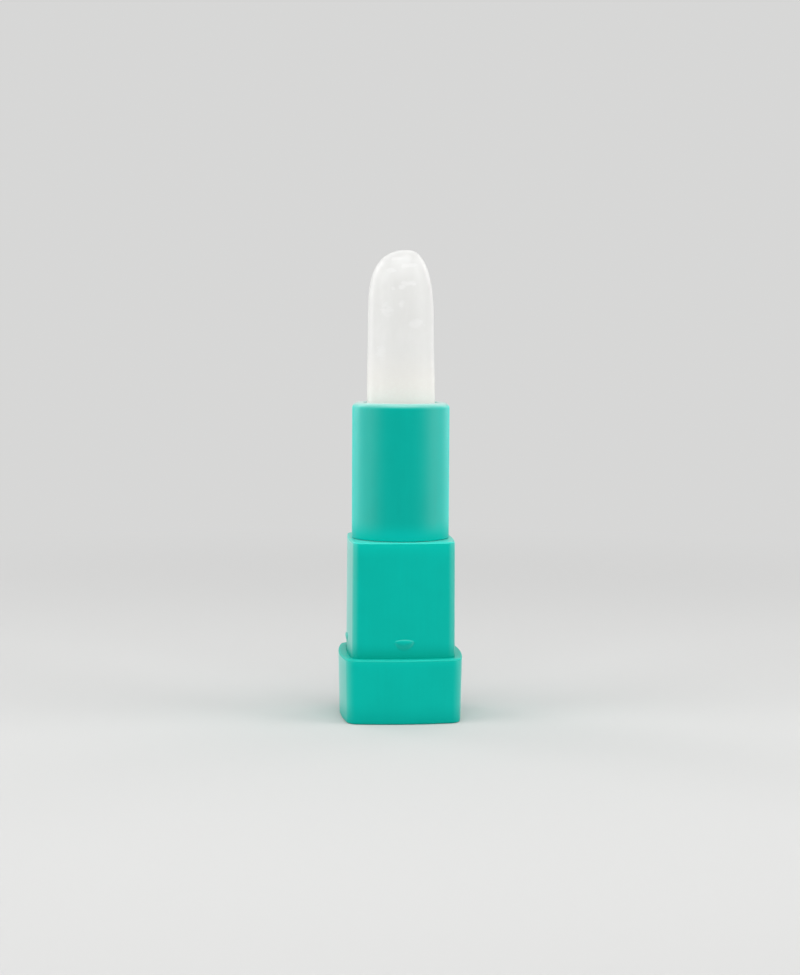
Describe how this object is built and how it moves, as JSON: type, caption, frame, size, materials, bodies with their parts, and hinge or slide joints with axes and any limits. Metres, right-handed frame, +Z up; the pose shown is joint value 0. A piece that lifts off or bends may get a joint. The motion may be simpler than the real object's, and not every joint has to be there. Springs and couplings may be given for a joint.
{
  "type": "lipstick",
  "caption": "Twist-up balm stick with its cap off: square teal base and neck, and a round turning tube that raises and lowers the white stick.",
  "frame": {"origin": "middle of the underside of the base", "axes": "+Z up along the stick; +X and +Y square to the base's faces; -Y is the front in the picture"},
  "size_m": [0.0218, 0.0218, 0.0828],
  "materials": {
    "base_plastic": "satin",
    "neck_plastic": "satin",
    "tube_plastic": "soft gloss",
    "inner_plastic": "natural",
    "ring_rubber": "matt",
    "balm": "translucent, softly glossy"
  },
  "bodies": {
    "base": {"base_shell": "base_plastic", "neck_collar": "neck_plastic", "guide_tube": "inner_plastic", "friction_ring": "ring_rubber"},
    "tube": {"outer_tube": "tube_plastic", "spiral_sleeve": "inner_plastic"},
    "carriage": {"cup": "inner_plastic", "balm_stick": "balm"}
  },
  "joints": [
    {"name": "tube_turn", "type": "hinge", "parent": "base", "child": "tube", "pos_m": [0, 0, 0.03184], "axis": [0, 0, 1], "range_deg": [0, 540]},
    {"name": "carriage_slide", "type": "slide", "parent": "base", "child": "carriage", "axis": [0, 0, 1], "range_m": [-0.02788, 0]}
  ],
  "couplings": [
    {"joint": "carriage_slide", "follows": "tube_turn", "m_per_rad": -0.0029582}
  ]
}
